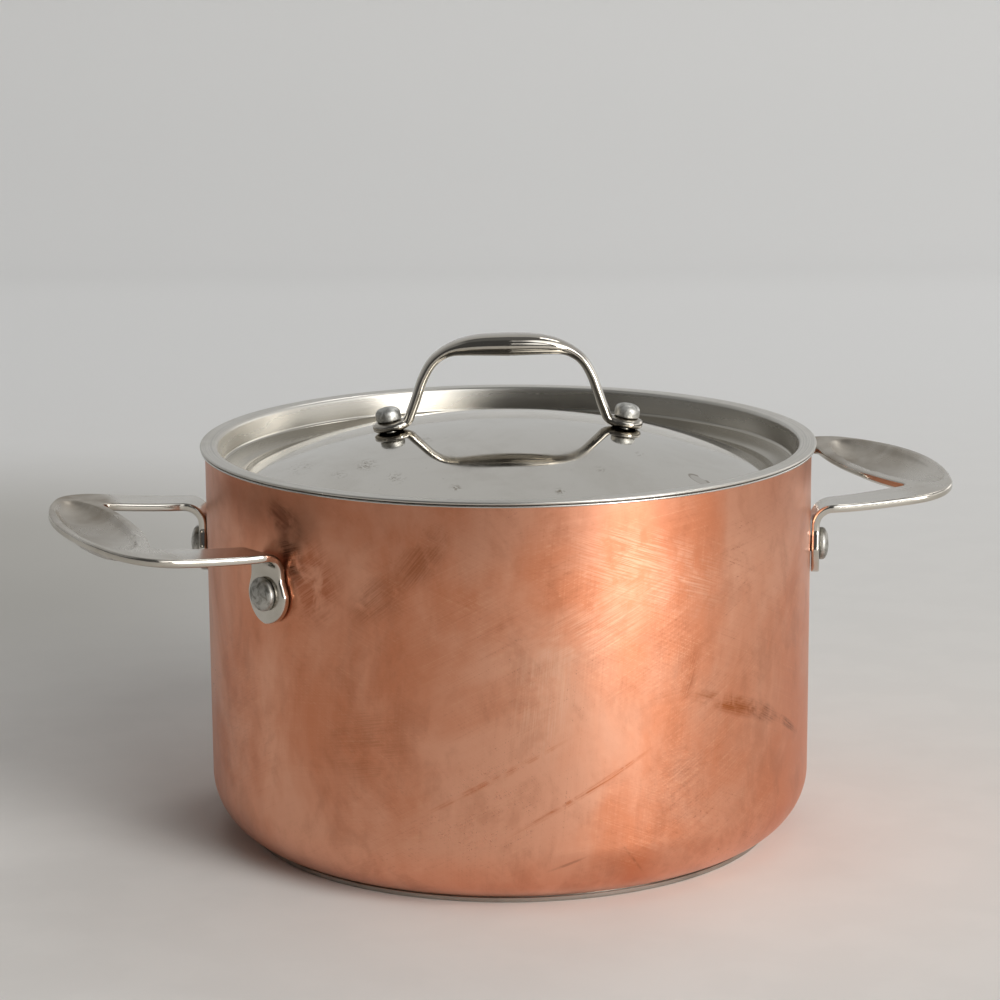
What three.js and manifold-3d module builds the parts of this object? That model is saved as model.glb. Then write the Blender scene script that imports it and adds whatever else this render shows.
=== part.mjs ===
// A lidded copper pot with two riveted side handles, in millimetres.
// The origin is the middle of the underside. +Z is up and +X runs through the right handle.
import * as THREE from 'three';
import { mergeVertices } from 'three/addons/utils/BufferGeometryUtils.js';
import Module from 'manifold-3d';

const wasm = await Module();
wasm.setup();

const { degToRad, lerp } = THREE.MathUtils;

// Copper shell
const bodyRadius = 120;
const copperTop = 154.5;
const copperThickness = 1.6;
const cornerRadius = 24;

// Base plate
const baseInset = 14.7;
const baseThickness = 2.35;
const baseEdge = 0.7;

// Steel lining
const liningThickness = 0.8;
const lipOverhang = 1.6;
const lipEdge = 0.25;
const mouthRound = 1.4;

// Clearances
const bondGap = 0.15;
const seatGap = 0.3;
const holeGap = 0.3;
const tabGap = 0.45;
const lidPlugGap = 1.35;
const cutOverrun = 4;

// Lid
const lidThickness = 1.1;
const lidOverhang = 2;
const lidEdge = 0.35;
const lidWallDraft = 0.6;
const lidWallHeight = 9.6;
const lidGutterDepth = 13.3;
const lidGutterWidth = 9.2;
const lidFlangeBend = 1.7;
const lidLedgeBend = 1.5;
const lidGutterBend = 3;
const domeCrown = 7.2;
const domeRadius = 287;
const lidTurn = degToRad(-17);
// How far a mitred corner of the sheet may shorten its offset: share
const mitreShare = 0.5;

// Lid handle
const archRise = 34.95;
const archTuck = 0.8;
const gripWidth = 14.4;
const gripHeight = 8.8;
const legWidth = 8.4;
const legThickness = 4;
const eyeRadius = 6.7;
const eyeThickness = 4;
const lidRivetReach = 46.4;

// Side handles
const handleReach = 63;
const handleDrop = 22.9;
const gripRise = 5.85;
const strapThickness = 3.2;
const strapEdge = 1.1;
const strapWidth = 17.6;
const gripHalfLength = 65;
const gripOverhang = 17.9;
const fingerGap = 31.2;
const bendRadius = 5.3;
const tabHalfWidth = 10.9;
const tabFootDepth = 11.5;
const bowlDepth = 5.8;
const bowlHalfLength = 46;
const bowlHalfWidth = 12.3;

// Rivets through the pot wall
const rivetDrop = 17.3;
const rivetHeadRadius = 6.5;
const rivetHeadHeight = 3.6;
const rivetHeadRim = 1.1;
const rivetShankRadius = 3.2;
const rivetTailRadius = 5.8;
const rivetTailHeight = 2;

// Rivets through the lid
const lidRivetHeadRadius = 5;
const lidRivetHeadHeight = 5.2;
const lidRivetHeadRim = 2.2;
const lidRivetShankRadius = 2.5;
const lidRivetTailRadius = 4.6;
const lidRivetTailHeight = 1.5;

// Facet counts
const turnSegments = 48;
const rivetSegments = 12;
const headSegments = 4;
const tailSegments = 2;
const domeSegments = 5;
const lidBendSegments = 2;
const cupSegments = 5;
const archPoints = 12;
const bendSegments = 4;
const strapSegments = 2;
const cornerSegments = 5;
const gripSegments = 6;
const tabSegments = 5;

// Shared heights and radii
const baseRadius = bodyRadius - baseInset;
const floorTop = baseThickness + bondGap;
const cornerCentreRadius = bodyRadius - cornerRadius;
const cornerCentreHeight = floorTop + Math.sqrt(cornerRadius ** 2 - (baseRadius - cornerCentreRadius) ** 2);
const liningOuterRadius = bodyRadius - copperThickness - bondGap;
const liningInnerRadius = liningOuterRadius - liningThickness;
const lipUnder = copperTop + bondGap;
const rimTop = lipUnder + liningThickness;
const flangeTop = rimTop + seatGap + lidThickness;
const domeCentreHeight = flangeTop + domeCrown - domeRadius;
const archTop = flangeTop + domeCrown + archRise;
const archSpan = lidRivetReach - lidRivetHeadRadius - legThickness / 2 + archTuck;
const handleTop = copperTop - handleDrop;
const rivetHeight = handleTop - rivetDrop;
const tabFace = bodyRadius + tabGap + strapThickness;
const tabAzimuth = Math.asin((gripHalfLength - gripOverhang) / tabFace);

// Materials
const metal = (color, roughness) => () => new THREE.MeshStandardMaterial({ color, roughness, metalness: 1 });
const copper = metal(0xb9765a, 0.38);
const polishedSteel = metal(0xc9c6bf, 0.16);
const brushedSteel = metal(0xbdbbb6, 0.32);
const dullRivet = metal(0x8f8e8a, 0.5);

const point = (r, z) => new THREE.Vector2(r, z);

// Solid tools

function faceUp(geometry) {
  const vertices = geometry.attributes.position.array;
  const index = geometry.index.array;
  const [a, b, c] = [new THREE.Vector3(), new THREE.Vector3(), new THREE.Vector3()];
  let volume = 0;
  for (let i = 0; i < index.length; i += 3) {
    a.fromArray(vertices, 3 * index[i]);
    b.fromArray(vertices, 3 * index[i + 1]);
    c.fromArray(vertices, 3 * index[i + 2]);
    volume += a.dot(b.cross(c));
  }
  return volume < 0 ? Array.from(index).reverse() : Array.from(index);
}

// Welds a closed geometry, drops its collapsed faces and turns its faces outwards.
function closedGeometry(geometry) {
  const bare = geometry.clone();
  bare.deleteAttribute('normal');
  bare.deleteAttribute('uv');
  const welded = mergeVertices(bare);
  const source = welded.index.array;
  const kept = [];
  for (let i = 0; i < source.length; i += 3) {
    const [a, b, c] = [source[i], source[i + 1], source[i + 2]];
    if (a !== b && b !== c && c !== a) kept.push(a, b, c);
  }
  welded.setIndex(kept);
  welded.setIndex(faceUp(welded));
  return welded;
}

function solidOf(geometry) {
  const closed = closedGeometry(geometry);
  return new wasm.Manifold(new wasm.Mesh({
    numProp: 3,
    vertProperties: new Float32Array(closed.attributes.position.array),
    triVerts: new Uint32Array(closed.index.array),
  }));
}

function geometryOf(solid) {
  const mesh = solid.getMesh();
  const geometry = new THREE.BufferGeometry();
  geometry.setAttribute('position', new THREE.BufferAttribute(mesh.vertProperties, 3));
  geometry.setIndex(new THREE.BufferAttribute(mesh.triVerts, 1));
  return geometry;
}

// Turns a closed profile of (radius, height) points round the Z axis.
function turned(profile, segments = turnSegments) {
  return closedGeometry(new THREE.LatheGeometry(profile, segments).rotateX(Math.PI / 2));
}

// Skins a row of closed sections of equal point count, and caps both ends.
function loft(sections) {
  const count = sections[0].length;
  const positions = sections.flat().flatMap((p) => [p.x, p.y, p.z]);
  const index = [];
  for (let s = 0; s + 1 < sections.length; s += 1) {
    for (let k = 0; k < count; k += 1) {
      const next = (k + 1) % count;
      const [a, b] = [s * count + k, s * count + next];
      index.push(a, b, b + count, a, b + count, a + count);
    }
  }
  const last = (sections.length - 1) * count;
  for (let k = 1; k + 1 < count; k += 1) {
    index.push(0, k + 1, k);
    index.push(last, last + k, last + k + 1);
  }
  const geometry = new THREE.BufferGeometry();
  geometry.setAttribute('position', new THREE.Float32BufferAttribute(positions, 3));
  geometry.setIndex(index);
  return closedGeometry(geometry);
}

function named(name, geometry, material) {
  const mesh = new THREE.Mesh(geometry, material);
  mesh.name = name;
  return mesh;
}

// Profile tools

// A line through corners of [radius, height, bend radius], with each corner rounded by its bend.
function bentLine(corners) {
  const line = [];
  corners.forEach(([r, z, bend], i) => {
    const here = point(r, z);
    if (!bend || i === 0 || i === corners.length - 1) {
      line.push(here);
      return;
    }
    const back = point(corners[i - 1][0], corners[i - 1][1]).sub(here).normalize();
    const on = point(corners[i + 1][0], corners[i + 1][1]).sub(here).normalize();
    const half = Math.acos(back.dot(on)) / 2;
    const reach = bend / Math.tan(half);
    const centre = back.clone().add(on).normalize().multiplyScalar(bend / Math.sin(half)).add(here);
    const start = back.multiplyScalar(reach).add(here);
    const end = on.multiplyScalar(reach).add(here);
    for (let k = 0; k <= lidBendSegments; k += 1) {
      const chord = start.clone().lerp(end, k / lidBendSegments).sub(centre);
      line.push(chord.setLength(bend).add(centre));
    }
  });
  return line;
}

// The line moved sideways by a distance, to the right of its direction.
function offsetLine(line, distance) {
  return line.map((here, i) => {
    const before = line[Math.max(i - 1, 0)];
    const after = line[Math.min(i + 1, line.length - 1)];
    const into = here.clone().sub(before);
    const out = after.clone().sub(here);
    if (into.length() === 0) into.copy(out);
    if (out.length() === 0) out.copy(into);
    const along = into.normalize().add(out.normalize()).normalize();
    const stretch = Math.max(along.dot(out.normalize()), mitreShare);
    return point(here.x + (along.y * distance) / stretch, here.y - (along.x * distance) / stretch);
  });
}

// The cup line of the body from the axis to the wall's top, for one face of one layer.
function cupLine(inset, floor, top) {
  const arcRadius = cornerRadius - inset;
  const drop = cornerCentreHeight - floor;
  const startAngle = Math.asin(drop / arcRadius);
  const line = [point(0, floor)];
  for (let k = 0; k <= cupSegments; k += 1) {
    const angle = startAngle * (1 - k / cupSegments);
    line.push(point(
      cornerCentreRadius + arcRadius * Math.cos(angle),
      cornerCentreHeight - arcRadius * Math.sin(angle),
    ));
  }
  line.push(point(bodyRadius - inset, top));
  return line;
}

// Placements

// Local +Z points outwards along a radius of the pot, so local z is the distance from its axis.
function radialPlace(azimuth, height) {
  return new THREE.Matrix4()
    .makeTranslation(0, 0, height)
    .multiply(new THREE.Matrix4().makeRotationZ(azimuth))
    .multiply(new THREE.Matrix4().makeRotationY(Math.PI / 2));
}

// Local +Z points outwards from the centre of the lid's dome, so local z is the distance from it.
function domePlace(side) {
  const lean = Math.asin(lidRivetReach / domeRadius);
  return new THREE.Matrix4()
    .makeTranslation(0, 0, domeCentreHeight)
    .multiply(new THREE.Matrix4().makeRotationY(side * lean));
}

function holeSolid(radius, from, to, place) {
  const depth = to - from;
  const hole = new THREE.CylinderGeometry(radius, radius, depth, rivetSegments)
    .rotateX(Math.PI / 2)
    .translate(0, 0, from + depth / 2)
    .applyMatrix4(place);
  return solidOf(hole);
}

// Azimuth of each pot rivet, by its piece's name
const rivetAzimuths = {
  right_front_rivet: -tabAzimuth,
  right_back_rivet: tabAzimuth,
  left_front_rivet: Math.PI + tabAzimuth,
  left_back_rivet: Math.PI - tabAzimuth,
};

function drillBody(geometry) {
  let solid = solidOf(geometry);
  const from = liningInnerRadius - cutOverrun;
  const to = bodyRadius + cutOverrun;
  for (const azimuth of Object.values(rivetAzimuths)) {
    const place = radialPlace(azimuth, rivetHeight);
    solid = solid.subtract(holeSolid(rivetShankRadius + holeGap, from, to, place));
  }
  return geometryOf(solid);
}

// Body

function copperShell() {
  const outside = cupLine(0, floorTop, copperTop);
  const inside = cupLine(copperThickness, floorTop + copperThickness, copperTop);
  return drillBody(turned([...outside, ...inside.reverse()]));
}

function steelLining() {
  const inset = copperThickness + bondGap;
  const floor = floorTop + inset;
  const lipRadius = bodyRadius + lipOverhang;
  const outside = cupLine(inset, floor, lipUnder);
  const lip = [
    point(lipRadius - lipEdge, lipUnder),
    point(lipRadius, lipUnder + lipEdge),
    point(lipRadius, rimTop - lipEdge),
    point(lipRadius - lipEdge, rimTop),
  ];
  const mouth = bentLine([
    [lipRadius - lipEdge - mouthRound, rimTop, 0],
    [liningInnerRadius, rimTop, mouthRound],
    [liningInnerRadius, rimTop - 2 * mouthRound, 0],
  ]).slice(1, -1);
  const inside = cupLine(inset + liningThickness, floor + liningThickness, lipUnder);
  inside.pop();
  return drillBody(turned([...outside, ...lip, ...mouth, ...inside.reverse()]));
}

function basePlate() {
  return turned([
    point(0, 0),
    point(baseRadius - baseEdge, 0),
    point(baseRadius, baseEdge),
    point(baseRadius, baseThickness),
    point(0, baseThickness),
  ]);
}

// Lid

function lidFaceLine() {
  const wallTop = liningInnerRadius - lidPlugGap - lidThickness;
  const wallFoot = wallTop - lidWallDraft;
  const ledgeHeight = flangeTop - lidWallHeight;
  const gutterRadius = wallFoot - lidGutterWidth;
  const line = [];
  const edgeAngle = Math.asin((gutterRadius - lidGutterBend) / domeRadius);
  for (let k = 0; k <= domeSegments; k += 1) {
    const angle = (edgeAngle * k) / domeSegments;
    line.push(point(domeRadius * Math.sin(angle), domeCentreHeight + domeRadius * Math.cos(angle)));
  }
  const edge = line[line.length - 1];
  const rise = bentLine([
    [edge.x, edge.y, 0],
    [gutterRadius, flangeTop - lidGutterDepth, lidGutterBend],
    [wallFoot, ledgeHeight, lidLedgeBend],
    [wallTop, flangeTop, lidFlangeBend],
    [bodyRadius + lidOverhang - lidEdge, flangeTop, 0],
  ]);
  return [...line, ...rise.slice(1)];
}

function lidPlate() {
  const face = lidFaceLine();
  const back = offsetLine(face, lidThickness);
  back[0].x = 0;
  const edge = [
    point(bodyRadius + lidOverhang, flangeTop - lidEdge),
    point(bodyRadius + lidOverhang, flangeTop - lidThickness + lidEdge),
  ];
  let solid = solidOf(turned([...face, ...edge, ...back.reverse()]));
  for (const side of [-1, 1]) {
    const hole = holeSolid(
      lidRivetShankRadius + holeGap,
      domeRadius - lidThickness - cutOverrun,
      domeRadius + cutOverrun,
      domePlace(side),
    );
    solid = solid.subtract(hole);
  }
  return geometryOf(solid);
}

// Lid handle

// Places on the half arch from the foot to the top: share of span, share of rise
const archShares = [
  [1.01, 0.008], [0.988, 0.034], [0.971, 0.073], [0.959, 0.118], [0.918, 0.26], [0.881, 0.404],
  [0.841, 0.553], [0.789, 0.691], [0.736, 0.788], [0.669, 0.865], [0.567, 0.936], [0.43, 0.977],
  [0.249, 0.997], [0, 1],
];
// How far each of those places has grown from the leg's section to the grip's: share
const swellShares = [0, 0, 0, 0, 0, 0, 0, 0, 0.02, 0.06, 0.22, 0.6, 0.88, 1];
// Stations along the eye, from its rounded end to the foot: share of the eye's length
const eyeShares = [0.015, 0.08, 0.2, 0.36, 0.52, 0.7, 0.86];
// Roundness of the oval section: 1 is an ellipse, and less is nearer to a rectangle
const ovalPower = 0.75;

// A section across the arch: an oval of a given width (along Y) and thickness.
function archSection(centre, along, width, thickness) {
  const up = new THREE.Vector3(-along.z, 0, along.x);
  const section = [];
  for (let k = 0; k < archPoints; k += 1) {
    const angle = (2 * Math.PI * (k + 0.5)) / archPoints;
    const [c, s] = [Math.cos(angle), Math.sin(angle)];
    const across = Math.sign(c) * Math.abs(c) ** ovalPower * (width / 2);
    const lift = Math.sign(s) * Math.abs(s) ** ovalPower * (thickness / 2);
    section.push(centre.clone().addScaledVector(up, lift).add(new THREE.Vector3(0, across, 0)));
  }
  return section;
}

// Stations of the right half, from the eye's end to the top: centre, width, thickness
function archStations() {
  const ride = domeRadius + seatGap + eyeThickness / 2;
  const eyeEnd = lidRivetReach + eyeRadius;
  const eyeLength = eyeEnd - archSpan;
  const stations = [];
  for (const share of eyeShares) {
    const reach = eyeEnd - share * eyeLength;
    const angle = Math.asin(reach / domeRadius);
    const centre = new THREE.Vector3(ride * Math.sin(angle), 0, domeCentreHeight + ride * Math.cos(angle));
    const offCentre = reach - lidRivetReach;
    const round = 2 * Math.sqrt(Math.max(eyeRadius ** 2 - offCentre ** 2, 0));
    const width = offCentre > 0 ? round : lerp(legWidth, 2 * eyeRadius, round / (2 * eyeRadius));
    stations.push({ centre, width, thickness: eyeThickness });
  }
  const foot = domeCentreHeight + Math.sqrt(ride ** 2 - archSpan ** 2);
  const rise = archTop - gripHeight / 2 - foot;
  archShares.forEach(([spanShare, riseShare], i) => {
    stations.push({
      centre: new THREE.Vector3(archSpan * spanShare, 0, foot + rise * riseShare),
      width: lerp(legWidth, gripWidth, swellShares[i]),
      thickness: lerp(legThickness, gripHeight, swellShares[i]),
    });
  });
  return stations;
}

function lidArch() {
  const half = archStations();
  const mirrored = half.slice(0, -1).reverse().map((s) => ({
    ...s, centre: new THREE.Vector3(-s.centre.x, 0, s.centre.z),
  }));
  const stations = [...half, ...mirrored];
  const sections = stations.map(({ centre, width, thickness }, i) => {
    const before = stations[Math.max(i - 1, 0)].centre;
    const after = stations[Math.min(i + 1, stations.length - 1)].centre;
    const along = after.clone().sub(before).normalize();
    return archSection(centre, along, width, thickness);
  });
  let solid = solidOf(loft(sections));
  for (const side of [-1, 1]) {
    const hole = holeSolid(
      lidRivetShankRadius + holeGap,
      domeRadius - cutOverrun,
      domeRadius + seatGap + eyeThickness + cutOverrun,
      domePlace(side),
    );
    solid = solid.subtract(hole);
  }
  return geometryOf(solid);
}

// Rivets

// Fullness of a head's profile: 1 is an ellipse, and less is nearer to a flat coin
const rivetHeadPower = 0.95;
const lidRivetHeadPower = 0.8;
// Upright rim of a tail head below its dome: share of the tail's height
const tailRimShare = 0.333;

// A rivet about local +Z: a domed head above its seat, a shank, and a low tail head below.
function rivet({
  seat, headRadius, headHeight, headRim, headPower, shankRadius, tailSeat, tailRadius, tailHeight, place,
}) {
  const headDome = [];
  for (let k = headSegments; k >= 0; k -= 1) {
    const angle = (Math.PI / 2) * (k / headSegments);
    headDome.push(point(
      headRadius * Math.cos(angle) ** headPower,
      seat + headRim + (headHeight - headRim) * Math.sin(angle) ** headPower,
    ));
  }
  headDome[0].x = 0;
  const tailDome = [];
  for (let k = 0; k <= tailSegments; k += 1) {
    const angle = (Math.PI / 2) * (k / tailSegments);
    tailDome.push(point(
      tailRadius * Math.cos(angle),
      tailSeat - tailHeight * lerp(tailRimShare, 1, Math.sin(angle)),
    ));
  }
  tailDome[tailSegments].x = 0;
  const shank = [
    point(headRadius, seat),
    point(shankRadius, seat),
    point(shankRadius, tailSeat),
    point(tailRadius, tailSeat),
  ];
  return turned([...headDome, ...shank, ...tailDome], rivetSegments).applyMatrix4(place);
}

function wallRivet(azimuth) {
  return rivet({
    seat: tabFace + seatGap,
    tailSeat: Math.sqrt(liningInnerRadius ** 2 - rivetTailRadius ** 2) - 2 * seatGap,
    headRadius: rivetHeadRadius,
    headHeight: rivetHeadHeight,
    headRim: rivetHeadRim,
    headPower: rivetHeadPower,
    shankRadius: rivetShankRadius,
    tailRadius: rivetTailRadius,
    tailHeight: rivetTailHeight,
    place: radialPlace(azimuth, rivetHeight),
  });
}

function lidRivet(side) {
  return rivet({
    seat: domeRadius + eyeThickness + 2 * seatGap,
    tailSeat: domeRadius - lidThickness - seatGap,
    headRadius: lidRivetHeadRadius,
    headHeight: lidRivetHeadHeight,
    headRim: lidRivetHeadRim,
    headPower: lidRivetHeadPower,
    shankRadius: lidRivetShankRadius,
    tailRadius: lidRivetTailRadius,
    tailHeight: lidRivetTailHeight,
    place: domePlace(side),
  });
}

// Side handle

// How much of a quarter turn the tab's rounded foot is drawn with: share
const tabFootShare = 0.92;
// Widest bevel of the strap's edges: share of its width
const widestEdgeShare = 0.333;
// Width of the tab from the bend down to the rivet: share of the eye's width
const tabWaistShares = [0.79, 0.81, 0.91];
// Outer corner of the loop as a cubic curve: shares of reach and half length
const outerCornerShares = [[0.43, 0.955], [0.611, 0.988], [0.754, 0.915], [0.835, 0.75]];
// Inner corner of the loop: shares of the finger gap and half length
const innerCornerShares = [[0.978, 0.652], [1.16, 0.668], [1.122, 0.592]];
// Rise of the strap towards the grip: the exponent of its curve
const riseCurve = 1.45;
// Places across the strap from its inner to its outer edge: share of the width inside the edges
const acrossShares = [0, 0.1, 0.25, 0.46, 0.66, 0.82, 0.93, 1];
// Middle of the grip's bowl between the grip's inner and outer edges: share
const bowlCentreShare = 0.505;
// Steepness of the bowl's sides: the exponent of its curve
const bowlCurve = 0.5;

function bowlDrop(x, y) {
  const centre = bodyRadius + lerp(fingerGap, handleReach, bowlCentreShare);
  const away = ((x - centre) / bowlHalfWidth) ** 2 + (y / bowlHalfLength) ** 2;
  return away < 1 ? bowlDepth * (1 - away) ** bowlCurve : 0;
}

function strapTop(x) {
  const share = Math.max((x - bodyRadius) / handleReach, 0);
  return handleTop + gripRise * share ** riseCurve;
}

// A section between an inner and an outer edge point, about a normal: a bar with bevelled edges.
function barSection(inner, outer, normal) {
  const across = outer.clone().sub(inner);
  const width = across.length();
  const edge = Math.min(strapEdge, width * widestEdgeShare);
  across.normalize();
  const at = (distance, lift) => inner.clone()
    .addScaledVector(across, distance)
    .addScaledVector(normal, lift);
  const half = strapThickness / 2;
  const spread = acrossShares.map((share) => edge + share * (width - 2 * edge));
  const upper = spread.map((distance) => at(distance, half));
  const lower = spread.map((distance) => at(distance, -half)).reverse();
  return [
    at(0, half - edge), ...upper, at(width, half - edge),
    at(width, edge - half), ...lower, at(0, edge - half),
  ];
}

// Sections of the flat loop from the strap's wall end at +Y to the middle of the grip
function loopSections(innerStart, outerStart) {
  const reach = ([x, y]) => new THREE.Vector2(bodyRadius + x * handleReach, y * gripHalfLength);
  const gap = ([x, y]) => new THREE.Vector2(bodyRadius + x * fingerGap, y * gripHalfLength);
  const outerCorner = new THREE.CubicBezierCurve(...outerCornerShares.map(reach));
  const innerCorner = new THREE.QuadraticBezierCurve(...innerCornerShares.map(gap));
  const outerEnd = outerCorner.getPoint(1);
  const innerEnd = innerCorner.getPoint(1);
  const outerTip = bodyRadius + handleReach;
  const innerTip = bodyRadius + fingerGap;
  const pairs = [];
  for (let k = 0; k < strapSegments; k += 1) {
    pairs.push([
      point(innerStart.x, innerStart.y).lerp(innerCorner.getPoint(0), k / strapSegments),
      point(outerStart.x, outerStart.y).lerp(outerCorner.getPoint(0), k / strapSegments),
    ]);
  }
  for (let k = 0; k < cornerSegments; k += 1) {
    const share = k / cornerSegments;
    pairs.push([innerCorner.getPoint(share), outerCorner.getPoint(share)]);
  }
  for (let k = 0; k <= gripSegments; k += 1) {
    const left = 1 - k / gripSegments;
    pairs.push([
      new THREE.Vector2(innerTip + (innerEnd.x - innerTip) * left ** 2, innerEnd.y * left),
      new THREE.Vector2(outerTip - (outerTip - outerEnd.x) * left ** 2, outerEnd.y * left),
    ]);
  }
  const lifted = (p) => new THREE.Vector3(p.x, p.y, strapTop(p.x) - strapThickness / 2);
  return pairs.map(([inner, outer]) => {
    const section = barSection(lifted(inner), lifted(outer), new THREE.Vector3(0, 0, 1));
    return section.map((p) => p.setZ(p.z - bowlDrop(p.x, p.y)));
  });
}

// Bends a section back along the pot's radius by a share, so that the tab follows the round wall.
function wrapSection(section, out, across, share) {
  const back = bodyRadius + tabGap;
  return section.map((p) => {
    const sagitta = back - Math.sqrt(back ** 2 - p.dot(across) ** 2);
    return p.addScaledVector(out, -share * sagitta);
  });
}

// Sections of the +Y leg from the tab's rounded foot up round the bend
function legSections() {
  const middle = bodyRadius + tabGap + strapThickness / 2;
  const out = new THREE.Vector3(Math.cos(tabAzimuth), Math.sin(tabAzimuth), 0);
  const across = new THREE.Vector3(-out.y, out.x, 0);
  const foot = out.clone().multiplyScalar(middle);
  const bend = bendRadius + strapThickness / 2;
  const bendHeight = handleTop - strapThickness / 2 - bend;
  const sections = [];
  const add = (centre, tilt, width) => {
    const normal = new THREE.Vector3(0, 0, Math.cos(tilt)).addScaledVector(out, -Math.sin(tilt));
    const inner = centre.clone().addScaledVector(across, -width / 2);
    const outer = centre.clone().addScaledVector(across, width / 2);
    sections.push(wrapSection(barSection(inner, outer, normal), out, across, Math.sin(tilt)));
  };
  for (let k = 0; k < tabSegments; k += 1) {
    const angle = (Math.PI / 2) * tabFootShare * (1 - k / tabSegments);
    const centre = foot.clone().setZ(rivetHeight - tabFootDepth * Math.sin(angle));
    add(centre, Math.PI / 2, 2 * tabHalfWidth * Math.cos(angle));
  }
  tabWaistShares.toReversed().forEach((share, k) => {
    const climb = (k + 1) / (tabWaistShares.length + 1);
    const height = lerp(rivetHeight, bendHeight, climb);
    add(foot.clone().setZ(height), Math.PI / 2, 2 * tabHalfWidth * share);
  });
  const waist = 2 * tabHalfWidth * tabWaistShares[0];
  for (let k = 0; k < bendSegments; k += 1) {
    const share = k / bendSegments;
    const tilt = (Math.PI / 2) * (1 - share);
    const centre = foot.clone().addScaledVector(out, bend * (1 - Math.sin(tilt)));
    centre.z = bendHeight + bend * Math.cos(tilt);
    add(centre, tilt, lerp(waist, strapWidth, share));
  }
  const end = foot.clone().addScaledVector(out, bend);
  return {
    sections,
    innerStart: end.clone().addScaledVector(across, -strapWidth / 2),
    outerStart: end.clone().addScaledVector(across, strapWidth / 2),
  };
}

// The right handle: a leg, the loop with its dished grip, and the mirrored leg
function sideHandle() {
  const leg = legSections();
  const half = [...leg.sections, ...loopSections(leg.innerStart, leg.outerStart)];
  const mirror = (section) => section.map((p) => new THREE.Vector3(p.x, -p.y, p.z));
  const sections = [...half, ...half.slice(0, -1).reverse().map(mirror)];
  let solid = solidOf(loft(sections));
  for (const azimuth of [-tabAzimuth, tabAzimuth]) {
    const hole = holeSolid(
      rivetShankRadius + holeGap,
      bodyRadius - cutOverrun,
      tabFace + cutOverrun,
      radialPlace(azimuth, rivetHeight),
    );
    solid = solid.subtract(hole);
  }
  return geometryOf(solid);
}

// Assembly

function potGroup() {
  const pot = new THREE.Group();
  pot.add(named('copper_shell', copperShell(), copper()));
  pot.add(named('steel_lining', steelLining(), brushedSteel()));
  pot.add(named('base_plate', basePlate(), brushedSteel()));
  const rightHandle = named('right_handle', sideHandle(), polishedSteel());
  const leftHandle = named('left_handle', sideHandle(), polishedSteel());
  leftHandle.rotation.z = Math.PI;
  pot.add(rightHandle, leftHandle);
  for (const [name, azimuth] of Object.entries(rivetAzimuths)) {
    pot.add(named(name, wallRivet(azimuth), dullRivet()));
  }
  return pot;
}

function lidGroup() {
  const lid = new THREE.Group();
  lid.rotation.z = lidTurn;
  lid.add(named('lid', lidPlate(), brushedSteel()));
  lid.add(named('lid_handle', lidArch(), polishedSteel()));
  lid.add(named('lid_left_rivet', lidRivet(-1), dullRivet()));
  lid.add(named('lid_right_rivet', lidRivet(1), dullRivet()));
  return lid;
}

const casserole = new THREE.Group();
casserole.add(potGroup(), lidGroup());

export default casserole;
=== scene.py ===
import math

import bpy
from mathutils import Matrix, Vector


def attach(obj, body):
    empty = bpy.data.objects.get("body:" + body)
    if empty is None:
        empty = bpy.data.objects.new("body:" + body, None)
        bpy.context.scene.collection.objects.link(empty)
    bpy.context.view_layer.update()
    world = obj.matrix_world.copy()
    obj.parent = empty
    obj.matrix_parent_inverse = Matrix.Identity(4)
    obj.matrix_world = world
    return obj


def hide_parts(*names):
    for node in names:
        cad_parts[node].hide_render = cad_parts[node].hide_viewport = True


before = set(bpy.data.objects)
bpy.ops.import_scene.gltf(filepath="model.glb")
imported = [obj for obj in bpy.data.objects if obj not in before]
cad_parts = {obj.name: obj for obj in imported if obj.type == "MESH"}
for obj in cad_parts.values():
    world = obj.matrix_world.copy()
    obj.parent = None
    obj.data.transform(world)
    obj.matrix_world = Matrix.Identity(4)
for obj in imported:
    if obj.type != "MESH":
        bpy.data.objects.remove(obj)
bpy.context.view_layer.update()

MM = 0.001
QUARTER = math.pi / 2

# Sizes shared with part.mjs, in millimetres
BODY_RADIUS = 120
COPPER_TOP = 154.5
COPPER_THICKNESS = 1.6
CORNER_RADIUS = 24
BASE_RADIUS = 105.3
BASE_THICKNESS = 2.35
BASE_EDGE = 0.7
LINING_THICKNESS = 0.8
LIP_OVERHANG = 1.6
BOND_GAP = 0.15
SEAT_GAP = 0.3
TAB_GAP = 0.45
LID_PLUG_GAP = 1.35
LID_THICKNESS = 1.1
LID_OVERHANG = 1.92
LID_WALL_DRAFT = 0.6
LID_WALL_HEIGHT = 9.6
LID_GUTTER_DEPTH = 13.3
LID_GUTTER_WIDTH = 9.2
LID_FLANGE_BEND = 1.7
LID_LEDGE_BEND = 1.5
LID_GUTTER_BEND = 3
DOME_CROWN = 7.2
DOME_RADIUS = 287
LID_TURN = math.radians(-17)
ARCH_SPAN = 40.2
ARCH_TOP = 198.89
GRIP_WIDTH = 14.4
GRIP_HEIGHT = 8.8
LEG_WIDTH = 8.4
LEG_THICKNESS = 4
EYE_RADIUS = 6.7
EYE_THICKNESS = 4
LID_RIVET_REACH = 46.4
HANDLE_REACH = 63
HANDLE_TOP = 131.6
GRIP_RISE = 5.85
STRAP_THICKNESS = 3.2
STRAP_EDGE = 1.1
STRAP_WIDTH = 17.6
GRIP_HALF_LENGTH = 65
FINGER_GAP = 31.2
BEND_RADIUS = 5.3
TAB_HALF_WIDTH = 10.9
TAB_FOOT_DEPTH = 11.5
GRIP_OVERHANG = 17.9
BOWL_DEPTH = 5.8
BOWL_HALF_LENGTH = 46
BOWL_HALF_WIDTH = 12.3
BOWL_CENTRE_SHARE = 0.505
RIVET_HEIGHT = 114.3

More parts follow.
